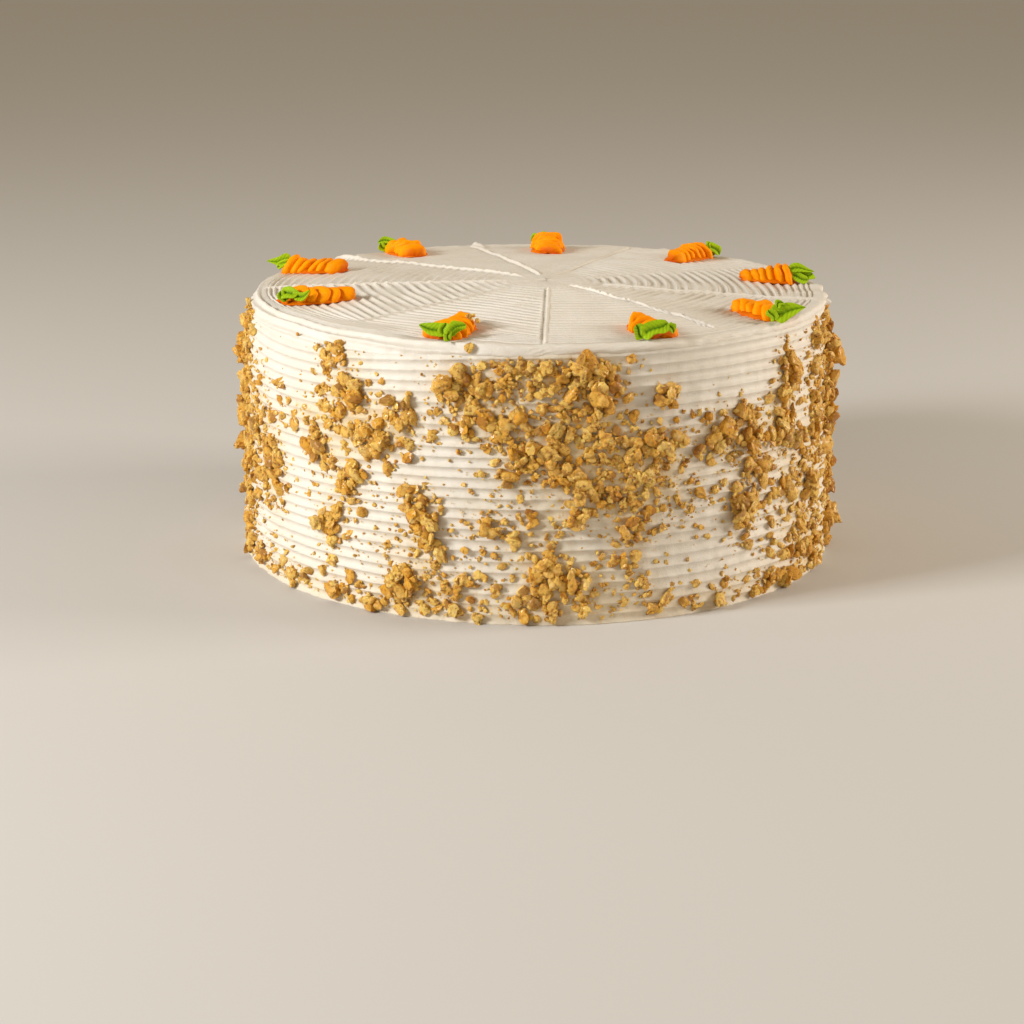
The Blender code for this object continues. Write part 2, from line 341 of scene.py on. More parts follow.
# %% Portion marks
# bearing at the rim, from and to (mm from the middle), groove depth, ridge height, groove to ridge
# (all mm), ridge half width (mm), raggedness, and degrees that it bends by towards the middle
MARKS = (
    (-89.0, 19, 112, 0.8, 0.55, 1.2, 0.42, 0.30, -2), (-52.0, 17, 106, 0.3, 0.80, 0.6, 0.42, 0.50, -2),
    (-12.5, 26, 113, 0.3, 0.55, 0.5, 0.50, 0.45, -12), (29.0, 20, 108, 0.25, 0.1, 0.5, 0.6, 0.4, -4),
    (68.0, 14, 112, 0.8, 0.25, 1.3, 0.6, 0.4, 0), (106.0, 14, 110, 0.4, 0.8, -0.9, 0.52, 0.35, 0),
    (139.0, 14, 113, 0.3, 0.95, 0.5, 0.50, 0.40, 0), (179.0, 18, 112, 0.3, 0.55, 0.5, 0.45, 0.60, 6),
    (228.0, 30, 104, 0.15, 0.25, 0.4, 0.50, 0.8, 0))
# the rings of the portion that follows each mark: how deep they are, the bearing that they face, and
# how straight they are, from 0 for a circle to 1 for a straight stroke
PORTIONS = ((1.7, -100.0, 0.4), (1.20, -32.0, 0.35), (1.15, 12.0, 0.55), (0.80, 42.0, 0.5), (0.28, 85.0, 0.4),
            (0.25, 120.0, 0.4), (0.70, 165.0, 0.4), (1.15, 198.0, 0.65), (1.6, 238.0, 0.9))
RING_PITCH = 4.05 * MM
RING_DEPTH = 0.85 * MM
RING_STEPS = np.array([0.0, 0.12, 0.37, 0.63, 0.88])
FIRST_RING = 2
OFF_CENTRE = (4.0 * MM, -3.0 * MM)    # where the rings and marks meet, from the middle of the cake


# %% The ringed top
def top_columns():
    """Bearings of the columns: even steps, with close steps beside each mark."""
    even = np.radians(np.arange(0.0, 360.0, 0.78))
    near = np.radians(np.linspace(-2.4, 2.4, 23))
    close = np.concatenate([math.radians(mark[0]) + near for mark in MARKS]) % (2.0 * np.pi)
    apart = np.min(np.abs((even[:, None] - np.radians([m[0] for m in MARKS])[None, :] + np.pi)
                          % (2.0 * np.pi) - np.pi), axis=1)
    return np.sort(np.concatenate([even[apart > math.radians(2.7)], close]))


def portion_of(theta):
    """(number of the mark before, share of the way to the next mark) for each bearing."""
    starts = np.radians([mark[0] for mark in MARKS] + [MARKS[0][0] + 360.0])
    turned = (theta - starts[0]) % (2.0 * np.pi) + starts[0]
    number = np.clip(np.searchsorted(starts, turned, side="right") - 1, 0, len(MARKS) - 1)
    return number, (turned - starts[number]) / (starts[number + 1] - starts[number])


def blend_portions(share, number, values):
    """A value for each portion, eased across the marks over 1.5 per cent of a portion on each side.

    `values` is one number for each portion, or one array of the grid's shape for each portion.
    """
    stack = np.stack(values)
    if stack.ndim == 1:
        before, here, after = stack[number - 1], stack[number], stack[(number + 1) % len(stack)]
    else:
        column = np.arange(stack.shape[-1])[None, :]
        row = np.arange(stack.shape[1])[:, None]
        before, here = stack[number - 1, row, column], stack[number, row, column]
        after = stack[(number + 1) % len(stack), row, column]
    rise, fall = ease(-0.015, 0.015, share), ease(0.985, 1.015, share)
    return before * (1.0 - rise) + here * (rise - fall) + after * fall


def ring_radius(theta, reach):
    """Radius of the stroke whose nearest point to the middle is at `reach`, for each portion.

    Formula: reach / cos(theta - facing) ^ straightness, softly kept inside the flat of the top. The
    straightness fades to none near the edge, where the comb followed the rim.
    """
    flat_radius = SHOULDER_RADIUS - edge_rounding(theta)
    strokes = []
    for _, facing, straight in PORTIONS:
        away = np.clip(np.abs(turn_from(facing, theta)), 0.0, math.radians(60.0))
        radius = reach / np.cos(away) ** (straight * (1.0 - ease(84 * MM, 112 * MM, reach)))
        strokes.append((radius ** -16 + (flat_radius + 0.01 * reach) ** -16.0) ** (-1.0 / 16.0))
    return strokes


def dome_height(radius):
    """Height of the top: a shallow parabola."""
    return RIM_HEIGHT + DOME_RISE * (1.0 - (radius / SHOULDER_RADIUS) ** 2)


def mark_relief(theta, radius):
    """(relief, nearness) of the portion marks.

    Formula: -depth * exp(-(across / 0.9 mm)^2) + height * exp(-((across - offset) / width)^2), where
    across is the arc length from the mark, swayed by up to half a mm, and both fade at its ends.
    """
    relief = np.zeros(np.broadcast(theta, radius).shape)
    nearness = np.zeros_like(relief)
    for number, (bearing, start, stop, depth, height, offset, width, ragged, _) in enumerate(MARKS):
        sway = 0.45 * ragged * MM * ripple(40 + number, 0.0 * theta, radius, 1, 60)
        across = (turn_from(bearing, theta) * radius - sway) / MM
        window = ease(start - 4.0, start + 1.0, radius / MM) * (1.0 - ease(stop - 2.0, stop + 1.5, radius / MM))
        torn = 1.0 + ragged * ripple(60 + number, 0.0 * theta, radius, 1, 420, 36)
        groove = depth * np.exp(-(across / 0.7) ** 2)
        ridge = height * torn * np.exp(-((across - offset) / width) ** 2)
        front = np.cos(turn_from(bearing, theta)) > 0.0
        relief = relief + np.where(front, window * (ridge - groove), 0.0) * MM
        nearness = np.maximum(nearness, np.where(front, window * np.exp(-(across / 1.3) ** 2), 0.0))
    return relief, nearness


# torn peaks of frosting on the top edge: bearing, reach out, reach up, half width (mm)
RIM_PEAKS = ((-10, 2.4, 0.3, 1.0), (-4, 1.2, 0.9, 1.2), (3, 1.0, 1.4, 1.4), (104, 0.3, 1.5, 1.3),
             (139, 0.3, 1.3, 2.0), (60, 0.2, 0.7, 3.0), (152, 0.4, 0.7, 1.5), (-30, 0.6, 0.3, 1.5))


def rim_unevenness(theta):
    """(reach out, reach up) of the top edge, in metres: a slow sway, small bumps and torn peaks."""
    out = (0.35 * ripple(21, theta, 0.0, 14, 0) + 0.16 * ripple(22, theta, 0.0, 120, 0, 40)) * MM
    up = (0.30 * ripple(23, theta, 0.0, 18, 0) + 0.16 * ripple(24, theta, 0.0, 130, 0, 40)) * MM
    for bearing, reach, rise, width in RIM_PEAKS:
        near = np.exp(-(turn_from(bearing, theta) * SHOULDER_RADIUS / MM / width) ** 2)
        out = out + reach * MM * near
        up = up + rise * MM * near
    return out, up


EDGE_STEPS = 24
# where the carrots' orange bounce light is painted into the frosting as a glow: the carrots' middles, told from the
# model
CARROT_SPOTS = [0.5 * (np.array(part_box(f"carrot_{n}")[0]) + np.array(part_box(f"carrot_{n}")[1])) for n in range(1, 10)]


def painted_carrot_glow(points):
    """How much painted orange glow the frosting gets, standing in for light bounced off the carrots: a bell round each,
    15 mm wide.
    """
    total = np.zeros(points.shape[:-1])
    for spot in CARROT_SPOTS:
        apart = np.hypot(points[..., 0] - spot[0], points[..., 1] - spot[1])
        total = total + np.exp(-(apart / (13.5 * MM)) ** 4)
    return total


def make_top():
    """The slab of frosting on top: rings out from the middle, over the rolled edge, and back under."""
    theta = top_columns()[None, :]
    flat_radius = SHOULDER_RADIUS - edge_rounding(theta)
    last_ring = int((SHOULDER_RADIUS - EDGE_ROUNDING) / RING_PITCH) + 1
    ring, step = np.meshgrid(np.arange(FIRST_RING, last_ring), RING_STEPS, indexing="ij")
    count = np.concatenate([[0.35, 0.9, 1.45], (ring + step).ravel()])[:, None]
    phase = np.concatenate([[0.0, 0.0, 0.0], (ring * 0 + step).ravel()])[:, None]
    reach = count * RING_PITCH * (1.0 + 0.0 * theta)
    reach = reach + ease(2.0, 5.0, count) * 0.40 * MM * ripple(30, theta, reach, 14, 40)
    number, share = portion_of(theta)
    number, share = np.broadcast_to(number, reach.shape), np.broadcast_to(share, reach.shape)
    radius = blend_portions(share, number, ring_radius(theta, reach))
    radius = radius + (reach - radius) * (1.0 - ease(3.0, 9.0, count))

    marks, near_mark = mark_relief(theta, radius)
    depth = blend_portions(share, number, [portion[0] for portion in PORTIONS])
    depth = depth * ease(10 * MM, 24 * MM, radius) * (1.0 - near_mark)
    squeeze = np.gradient(radius, axis=0) / np.gradient(reach, axis=0)
    depth = depth * np.clip(2.4 * squeeze - 0.25, 0.0, 1.0)
    smeared = np.exp(-(turn_from(-131.0, theta) / math.radians(16.0)) ** 4)
    depth = depth * (1.0 - 0.85 * smeared * ease(96 * MM, 103 * MM, radius))
    depth = depth * np.clip(0.95 + 0.5 * ripple(31, theta, radius, 16, 60), 0.30, 1.3)
    rings = -RING_DEPTH * depth * (1.0 - scallop(phase))
    smears = 0.20 * MM * ripple(32, theta, radius, 12, 40) + 0.06 * MM * ripple(33, theta, radius, 150, 260, 48)
    rim_out, rim_up = rim_unevenness(theta)
    spare = np.clip(1.0 - (radius / flat_radius) ** 2, 0.0, 1.0)
    bends = np.interp(theta % (2.0 * np.pi), np.radians([mark[0] for mark in MARKS]) % (2.0 * np.pi),
                      np.radians([mark[8] for mark in MARKS]), period=2.0 * np.pi)
    turned = theta + bends * (1.0 - radius / flat_radius)
    x = radius * np.cos(turned) + OFF_CENTRE[0] * spare
    y = radius * np.sin(turned) + OFF_CENTRE[1] * spare
    edge_share = ease(94 * MM, 107 * MM, radius)
    face = np.stack([x, y, dome_height(radius) + rings + marks + smears + edge_share * rim_up], axis=-1)

    rounding = edge_rounding(theta)
    angle = np.radians(np.linspace(0.0, 140.0, EDGE_STEPS))[:, None]
    centre = SHOULDER_RADIUS - rounding
    comb_share = np.clip((rounding - EDGE_ROUNDING) / SOFT_EDGE, 0.0, 1.0)
    comb = -1.9 * MM * comb_share * (1.0 - scallop((angle * rounding / COMB_PITCH + 0.5) % 1.0))
    lip = 0.12 * MM * ripple(26, theta, angle * 10 * MM, 160, 200, 40)
    out = rounding + comb + lip + rim_out * np.sin(angle)
    edge_radius = centre + out * np.sin(angle)
    base = dome_height(centre) + rim_up - rounding
    edge_height = base + (rounding + comb + lip) * np.cos(angle)
    edge = np.stack([edge_radius * np.cos(theta), edge_radius * np.sin(theta), edge_height], axis=-1)
    under = edge[-1] * np.array([0.93, 0.93, 1.0]) - np.array([0.0, 0.0, 1.0 * MM])
    grid = np.concatenate([face, edge, under[None]])[::-1]
    low_pole = (0.0, 0.0, SIDE_TOP - 12.0 * MM)
    middle = (OFF_CENTRE[0], OFF_CENTRE[1], dome_height(0.0))
    piece = ring_piece("frosting_top", grid, low_pole, middle, "frosting")
    # painted orange glow near the carrots, standing in for their bounce light
    paint(piece, "painted_glow", np.append(painted_carrot_glow(grid).ravel(), [0.0, 0.0]))
    return piece


frosting_top = make_top()
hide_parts("frosted_cake")
print("top faces:", len(frosting_top.data.polygons))

# %% [markdown]
# ## Piped carrots
# Each carrot is one squeeze of stiff orange icing: the hand shakes along its length, so the body is a
# row of round lobes that lean on each other, small at the tip and large at the head. A path of rings
# whose size swells and shrinks with each lobe gives this with one formula, and a phase that changes
# round the ring makes the lobes lean.

# %% Places of the carrots
CARROTS = 9
# tip and head along the axis, head and tip width, head and tip height (mm), number of lobes, slant of
# the lobes to the left for each mm across, lean towards the tip for each mm up, bend of the axis, how
# far the head lies to the left of the tip and how much longer the lobe at the tip is (mm)
CARROT_SHAPES = (
    (-10.0, 12.0, 15.0, 9.5, 4.6, 4.6, 6, 0.25, 0.3, 1.5, -4.0, 0.0),
    (-8.5, 10.0, 13.5, 7.5, 3.8, 5.0, 6, -0.35, 0.3, -1.0, 7.0, 0.0),
    (-12.5, 8.5, 13.5, 9.5, 5.4, 4.2, 5, 0.10, 0.5, 1.0, 0.0, 0.0),
    (-12.0, 9.0, 13.5, 8.5, 7.2, 3.6, 6, 0.20, 0.3, -0.6, 0.0, 0.3),
    (-16.0, 13.0, 13.5, 10.5, 6.6, 4.4, 6, 0.40, 0.4, 0.6, 0.0, 1.0),
    (-12.0, 12.0, 14.0, 12.0, 6.8, 4.2, 6, 0.45, 0.25, 0.6, 0.0, 0.0),
    (-13.5, 13.0, 12.5, 11.5, 5.8, 5.2, 5, 0.35, 0.3, -0.8, 0.0, 0.4),
    (-14.0, 12.5, 11.5, 11.0, 6.2, 5.0, 6, 0.05, 0.42, -0.6, 0.0, 1.4),
    (-12.5, 14.0, 12.5, 9.0, 5.8, 4.2, 5, -0.65, 0.6, 1.2, 0.0, 0.8))


def centre_of(node):
    """Middle of a node's box."""
    node_low, node_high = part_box(node)
    return 0.5 * (np.array(node_low) + np.array(node_high))


def carrot_seat(number):
    """(point on the top, forward, left) of a carrot: forward runs from its tip to its leaves."""
    middle, leaves = centre_of(f"carrot_{number}"), centre_of(f"leaves_{number}")
    forward = (leaves - middle) * np.array([1.0, 1.0, 0.0])
    forward = forward / np.linalg.norm(forward)
    left = np.array([-forward[1], forward[0], 0.0])
    point = np.array([middle[0], middle[1], dome_height(math.hypot(middle[0], middle[1]))])
    return point, forward, left


def place_on_top(local, number):
    """Local (along, left, up) points of a carrot, set down on the dome and following its fall."""
    point, forward, left = carrot_seat(number)
    world = point + local[..., :1] * forward + local[..., 1:2] * left
    away = np.hypot(world[..., 0], world[..., 1])
    world[..., 2] = dome_height(away) + local[..., 2]
    return world


# %% The carrots
LOBE_RINGS, LOBE_COLUMNS = 20, 32


def carrot_lobe(seed, along, aside, thick, wide, tall, slant, lean, sweep):
    """(points, depth) of one lobe: a round cushion that slants, leans and sweeps its arms back.

    Formula: from a unit ball's direction (u, v, w), the point (thick u, wide v, tall w), swelled by
    fine folds, with slant * v + lean * w + sweep * v^2 added along the carrot. Depth is painted shade:
    it grows down the flank of its lobe, from 0 on the crest to 1 in the crease, and in the nozzle's
    grooves and on the low parts, and the icing is painted darker where it is high.
    """
    ball = unit_ball(LOBE_RINGS, LOBE_COLUMNS)[:, [2, 0, 1]]
    soft = np.sign(ball) * np.abs(ball) ** 0.82
    around = np.arctan2(soft[:, 2], soft[:, 1])
    folds = 1.0 + 0.07 * ripple(seed, around, ball[:, 0] * 2 * MM, 8, 220, 20)
    folds = folds + 0.04 * (np.abs(np.sin(4.5 * around + seed)) - 0.6) * (1.0 - ball[:, 0] ** 2)
    nozzle = np.abs(np.cos(3.0 * np.arcsin(np.clip(ball[:, 0], -1.0, 1.0)) + 0.3 * np.sin(2.0 * around + seed)))
    folds = folds + 0.07 * (nozzle - 0.6) * (1.0 - ball[:, 0] ** 2)
    x = along + thick * soft[:, 0] * folds
    y = aside + wide * soft[:, 1] * folds
    z = np.where(soft[:, 2] > 0.0, tall * soft[:, 2] * folds, 1.0 * soft[:, 2])
    x = x + slant * (y - aside) - lean * np.maximum(z, 0.0) + sweep * (soft[:, 1] ** 2)
    # painted shade: darker in the creases, in the nozzle's grooves and low down
    depth = ease(0.45, 0.95, np.abs(ball[:, 0])) * 0.8 + 0.3 * (1.0 - nozzle) ** 2 + 0.3 * (1.0 - ease(0.0, 1.6, z))
    return np.stack([x, y, z], axis=-1) * MM, depth


def make_carrot(number):
    """One piped carrot: a thin skirt and a row of lobes that grow from the tip to the head."""
    (tip, head, head_width, tip_width, head_height, tip_height,
     lobes, slant, lean, bend, veer, longer) = CARROT_SHAPES[number - 1]
    dice = np.random.default_rng(100 + number)
    length, pitch = head - tip, (head - tip - 1.6 * longer) / (lobes + 0.6)
    parts = []
    for i in range(lobes):
        share = i / (lobes - 1)
        wide = 0.5 * (tip_width + (head_width - tip_width) * share) * dice.uniform(0.88, 1.06)
        tall = (tip_height + (head_height - tip_height) * share) * dice.uniform(0.86, 1.10)
        end = 0.80 if i == 0 else 1.0
        last = i == 0
        along = tip + (0.8 if last else 1.6) * longer + pitch * (0.8 + i) + dice.uniform(-0.4, 0.4)
        aside = bend * (4.0 * share * (1.0 - share) - 0.5) + veer * (share - 0.5) + dice.uniform(-0.35, 0.35)
        parts.append(carrot_lobe(1000 + 20 * number + i, along, aside, pitch * (0.95 if last else 0.78) + 0.8 * longer * last,
                                 wide * end ** 0.5, tall, slant + dice.uniform(-0.1, 0.1),
                                 lean + dice.uniform(-0.15, 0.15), dice.uniform(0.2, 1.2)))
    skirt, _ = carrot_lobe(1900 + number, 0.0, 0.0, 0.5 * length + 0.6, 0.5 * head_width + 0.9, 1.5, 0.0, 0.0, 0.0)
    narrow = 1.0 - 0.5 * (1.0 - tip_width / head_width) * (1.0 - skirt[:, 0] / (0.5 * length * MM))
    ragged = 1.0 + 0.09 * ripple(1950 + number, np.arctan2(skirt[:, 1], skirt[:, 0]), 0.0, 22, 0, 16)
    skirt = skirt * np.stack([ragged, narrow * ragged, 1.0 + 0.0 * ragged], axis=-1)
    skirt[:, 1] += veer * skirt[:, 0] / length
    skirt[:, 0] += 0.5 * (tip + head) * MM
    # the skirt lies low, so it gets a fixed painted shade of 0.75
    parts.append((skirt, np.full(len(skirt), 0.75)))
    points = np.concatenate([place_on_top(local, number) for local, _ in parts])
    faces = joined_faces(*ring_faces(LOBE_RINGS, LOBE_COLUMNS), len(parts), len(parts[0][0]))
    piece = add_piece(f"piped_carrot_{number}", points, *faces, "carrot_icing")
    # the lobes' depths are stored as painted shade for the carrot icing
    paint(piece, "crease_and_painted_shade", np.clip(np.concatenate([depth for _, depth in parts]), 0.0, 1.0))
    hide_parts(f"carrot_{number}")
    return piece


carrots = [make_carrot(number) for number in range(1, CARROTS + 1)]
print("carrots:", len(carrots), "faces each:", len(carrots[0].data.polygons))

# %% [markdown]
# ## Piped leaves
# The leaves are short strokes from a leaf nozzle, which has a slit: each stroke is a ribbon with a
# crease along its middle and lifted edges, that folds over where the hand stops. Two or three strokes
# make a tuft, and no two tufts are alike, so each has its own short list of strokes.

# %% The leaves
# one blade: start and end, each as mm to the right, away and up from the tuft's place, the width (mm),
# how far the middle of the blade bows upward (mm), and how pointed its end is, from 0 to 1
TUFTS = (
    ((-0.2, -2.5, 2.2, -10.6, 0.0, 4.6, 5.8, 0.4, 0.7), (0.4, -2.5, 2.4, 6.4, -1.0, 5.4, 4.8, 0.2, 0.4),
     (-1.4, -5.6, 2.6, -0.8, -5.0, 7.0, 3.8, 0.2, 0.0), (-1.0, -5.4, 3.4, 1.0, -6.0, 0.6, 3.4, 0.2, 0.2)),
    ((-4.2, -3.0, 1.2, 5.4, -0.5, 5.8, 5.8, 0.6, 0.1), (-6.6, -1.5, 5.0, -3.4, -3.0, 0.8, 4.4, -0.8, 0.0),
     (4.6, -1.0, 5.4, 7.0, -1.5, 2.4, 3.8, 0.9, 0.2)),
    ((-4.6, -5.5, 3.2, 8.6, -3.0, 6.2, 7.4, -0.6, 0.9), (-5.6, -6.4, 5.2, -2.8, -7.2, 1.4, 3.8, -0.6, 0.0),
     (-2.6, -4.5, 5.6, -0.2, -3.0, 7.6, 3.0, 0.2, 0.1)),
    ((-6.2, -2.5, 5.4, 4.8, -1.0, 5.2, 4.4, 0.3, 0.9), (4.0, -1.0, 4.2, 0.0, -2.0, 0.6, 4.6, 0.6, 0.1),
     (-5.0, -3.8, 2.8, 2.0, -3.2, 1.2, 4.6, 0.3, 0.1)),
    ((3.0, 0.0, 5.4, 8.2, -0.5, 1.0, 4.6, 0.6, 0.0), (2.4, -1.0, 4.0, 4.6, 0.5, 6.2, 2.6, 0.0, 0.2)),
    ((-7.4, 1.0, 3.0, -3.8, 0.0, 4.8, 3.4, 0.4, 0.1), (-3.6, 0.0, 4.4, 1.6, 1.0, 4.4, 3.8, 0.3, 0.2),
     (-3.0, 1.0, 3.0, 3.0, 4.0, 1.4, 5.0, 0.5, 0.6)),
    ((-0.8, 0.0, 4.0, -9.2, 0.5, 4.4, 3.6, 0.5, 0.1), (-8.0, -1.0, 4.2, -5.0, -1.6, 0.8, 3.8, -0.8, 0.0),
     (-5.8, -1.4, 1.4, -2.6, -0.8, 3.2, 2.8, -0.3, 0.1)),
    ((1.6, 0.5, 4.0, -9.0, 0.0, 4.4, 6.0, 0.3, 1.0), (-4.4, -1.8, 2.2, 1.2, -1.2, 5.2, 3.2, -0.5, 0.1)),
    ((-1.8, -3.5, 3.6, 5.6, -5.0, 4.6, 5.0, 0.4, 0.3), (3.4, -5.6, 3.0, 10.0, -6.0, 5.4, 4.4, -0.9, 0.7),
     (-1.8, -3.8, 5.6, 0.2, -4.6, 1.4, 3.4, -0.5, 0.0)))
LEAF_RINGS, LEAF_COLUMNS = 26, 28
LEAF_TILT = math.radians(38.0)      # how far a blade's lower edge stands out towards the outside


def leaf_blade(blade, seed, tilt):
    """Rings of one blade, in mm to the right, away and up, and its painted shade: dark in the crease, on the blade's
    far face and in the dips between the ribs.

    Formula: the middle line runs straight from start to end and bows upward as 4 s (1 - s). Across it,
    t runs from -1 to 1 and back at half the width times an outline that is round at the start and
    round or pointed at the end, the edges curl outward as t^2, and cross ripples run over the blade.
    """
    x0, y0, z0, x1, y1, z1, width, bow, point = blade
    start, end = np.array([x0, y0, z0]), np.array([x1, y1, z1])
    share = np.linspace(0.0, 1.0, LEAF_RINGS)[:, None]
    turn = np.linspace(0.0, 2.0 * np.pi, LEAF_COLUMNS, endpoint=False)[None, :]
    run = (end - start) / np.linalg.norm(end - start)
    up = np.cross(run, np.cross([0.0, math.cos(tilt), math.sin(tilt)], run))
    out = np.cross(run, np.array([0.0, -math.cos(tilt), math.sin(tilt)]))
    side = out / np.linalg.norm(out)
    front = np.cross(side, run)
    front = front if front[1] < 0.0 else -front
    line = start + (end - start) * share[..., None] + np.array([0, 0, 1.0]) * bow * 4 * (share * (1 - share))[..., None]
    line = line + side * 0.45 * np.sin(2.0 * np.pi * (share[..., None] + 0.1 * (seed % 7)))
    begin = np.sqrt(np.clip(1.0 - (1.0 - np.minimum(share / 0.22, 1.0)) ** 2, 0.0, 1.0))
    reach = 0.30 + 0.35 * point
    close = np.clip((share - 1.0 + reach) / reach, 0.0, 1.0)
    outline = begin * ((1.0 - point) * np.sqrt(np.clip(1.0 - close ** 2, 0.0, 1.0)) + point * (1.0 - close))
    wave = 1.0 + 0.12 * ripple(seed, turn, share * 9 * MM, 2, 240, 10)
    t = np.cos(turn)
    across = 0.5 * width * outline * wave * t
    crease_and_painted_shade = np.exp(-(t / 0.22) ** 2)
    ribs = 0.08 * np.cos(2.0 * np.pi * (7.0 * share + 1.2 * np.abs(t)))
    skin = (0.62 + 0.2 * np.abs(t)) * outline ** 0.5 * np.sin(turn)
    curl = 0.16 * width * t ** 2 - 0.55 * crease_and_painted_shade * (np.sin(turn) > 0.0)
    rise = (curl + ribs) * outline ** 0.5 + skin
    points = line + across[..., None] * side + rise[..., None] * front
    # painted shade: dark in the crease, on the blade's far face and in the dips between the ribs
    shade = np.clip(0.9 * crease_and_painted_shade * (np.sin(turn) > 0.0) + 0.5 * (np.sin(turn) < -0.3) - 2.5 * ribs + 0.1, 0, 1)
    return points, shade + 0.0 * share


def make_tuft(number):
    """The tuft of one carrot: its blades, with a larger one lying behind them, joined in one piece."""
    spot = centre_of(f"leaves_{number}")
    all_points, all_shades = [], []
    first = np.array(TUFTS[number - 1][0])
    behind = first + np.array([0.0, 3.0, -0.8, 0.0, 3.2, -1.6, -0.4, 0.0, 0.0])
    behind[3:6] = 0.72 * behind[3:6] + 0.28 * behind[:3]
    for index, blade in enumerate((*TUFTS[number - 1], tuple(behind))):
        tilt = LEAF_TILT if index < len(TUFTS[number - 1]) else -LEAF_TILT
        local, shade = leaf_blade(blade, 300 + 10 * number + index, tilt)
        local = np.concatenate([local.reshape(-1, 3), [local[0].mean(axis=0)], [local[-1].mean(axis=0)]]) * MM
        local[:, 2] = np.maximum(local[:, 2], -0.3 * MM)
        world = np.array([spot[0], spot[1], 0.0]) + local
        world[:, 2] = dome_height(np.hypot(world[:, 0], world[:, 1])) + local[:, 2]
        all_points.append(world)
        all_shades.append(np.append(shade.ravel(), [0.5, 0.5]))
    faces = joined_faces(*ring_faces(LEAF_RINGS, LEAF_COLUMNS), len(all_points), len(all_points[0]))
    piece = add_piece(f"piped_leaves_{number}", np.concatenate(all_points), *faces, "leaf_icing")
    # the blades' painted shade is stored for the leaf icing
    paint(piece, "crease_and_painted_shade", np.concatenate(all_shades))
    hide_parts(f"leaves_{number}")
    return piece


tufts = [make_tuft(number) for number in range(1, CARROTS + 1)]
print("tufts:", len(tufts), "strokes:", sum(len(strokes) for strokes in TUFTS))

# %% [markdown]
# ## Chopped walnuts
# A chopped walnut breaks into lumps with a few rounded facets, folds left over from the kernel, and
# here and there a patch of brown skin. Each lump is a ball whose radius is the soft smallest distance
# to a few random planes, with waves and creases on it. All the lumps of one size are worked out
# together as one array, and joined in one mesh.


# %% Lumps
def random_directions(dice, *shape):
    """Unit vectors spread evenly over the ball."""
    arrows = dice.normal(size=(*shape, 3))
    return arrows / np.linalg.norm(arrows, axis=-1, keepdims=True)


def lump_shapes(dice, ball, count, lumpiness, creases):
    """(points, skin) of `count` lumps about the origin, of radius about 1.

    Formula: radius = (sum over planes of (max(n . v, 0) / d)^7)^(-1/7), the soft distance to the
    nearest plane, times 1 + waves - creases, where a crease is a narrow bell about a random circle.
    Skin is 1 on the side that faces a random way, with a wavy edge.
    """
    planes = random_directions(dice, count, 11)
    distances = dice.uniform(0.62, 1.10, (count, 11))
    axes = np.broadcast_to(np.concatenate([np.eye(3), -np.eye(3)]), (count, 6, 3))
    planes = np.concatenate([planes, axes], axis=1)
    distances = np.concatenate([distances, dice.uniform(0.85, 1.10, (count, 6))], axis=1)
    facing = np.clip(np.einsum("nkc,vc->nvk", planes, ball), 0.0, None) / distances[:, None, :]
    radius = (facing ** 10).sum(axis=2) ** (-1.0 / 10.0)
    waves = np.zeros_like(radius)
    for frequency in (3.0, 5.0, 8.0, 11.0, 14.0):
        way = random_directions(dice, count) * frequency
        waves += np.cos(way @ ball.T + dice.uniform(0.0, 2.0 * np.pi, (count, 1))) / frequency ** 0.35
    folds = np.zeros_like(radius)
    for _ in range(creases):
        circle = random_directions(dice, count) @ ball.T - dice.uniform(-0.4, 0.4, (count, 1))
        folds += np.exp(-((circle + 0.10 * waves) / 0.12) ** 2)
    radius = radius * (1.0 + lumpiness * waves - 0.22 * np.clip(folds, 0.0, 1.2))
    toward = random_directions(dice, count) @ ball.T
    skin = ease(0.15, 0.45, toward + 0.25 * waves) * (dice.random((count, 1)) < 0.40)
    skin = np.clip(skin + 0.75 * np.clip(folds, 0.0, 1.0) * dice.random((count, 1)), 0.0, 1.0)
    return radius[..., None] * ball, skin


def turned(dice, points, spread):
    """Each lump stretched by its own three half axes `spread`, then turned at random about the third."""
    angle = dice.uniform(0.0, 2.0 * np.pi, len(points))
    points = points * spread[:, None, :]
    c, s = np.cos(angle)[:, None], np.sin(angle)[:, None]
    return np.stack([c * points[..., 0] - s * points[..., 1],
                     s * points[..., 0] + c * points[..., 1], points[..., 2]], axis=-1)


# %% [markdown]
# ## Where each lump sits
# A lump is pressed a little into the frosting, and one that lands on others rides on their backs, so
# the thick patches pile up and stand out of the side. Lumps are laid from large to small.


# %% Places for lumps
placed = {"arc": np.zeros(0), "rise": np.zeros(0), "size": np.zeros(0), "top": np.zeros(0)}


def pile_up(theta, rise, half, thick, sink):
    """Distance out from the wall for the middle of each lump, laying them one after another.

    A lump within reach of lumps that already lie there is lifted by a share of the highest back.
    """
    out = np.zeros(len(theta))
    for i in range(len(theta)):
        gap = (theta[i] - placed["arc"] + np.pi) % (2.0 * np.pi) - np.pi
        apart = np.hypot(gap * FOOT_RADIUS, rise[i] - placed["rise"])
        reach = 0.85 * (placed["size"] + half[i])
        back = placed["top"] * np.clip(1.0 - apart / reach, 0.0, 1.0) ** 0.5
        lift = min(0.62 * back.max(initial=0.0), 5.0 * MM)
        out[i] = lift + thick[i] * (1.0 - 2.0 * sink[i])
        for key, value in (("arc", theta[i]), ("rise", rise[i]), ("size", half[i]),
                           ("top", out[i] + thick[i])):
            placed[key] = np.append(placed[key], value)
    return out


def sample_places(dice, count, power, low_rise, high_rise):
    """Random (bearing, height) places whose density follows the cover of nuts, raised to `power`."""
    theta = dice.uniform(0.0, 2.0 * np.pi, count * 60)
    rise = dice.uniform(low_rise, high_rise, count * 60) * MM
    chance = (nut_cover(theta, rise) / 1.7) ** power
    kept = dice.random(count * 60) < chance
    return theta[kept][:count], rise[kept][:count]


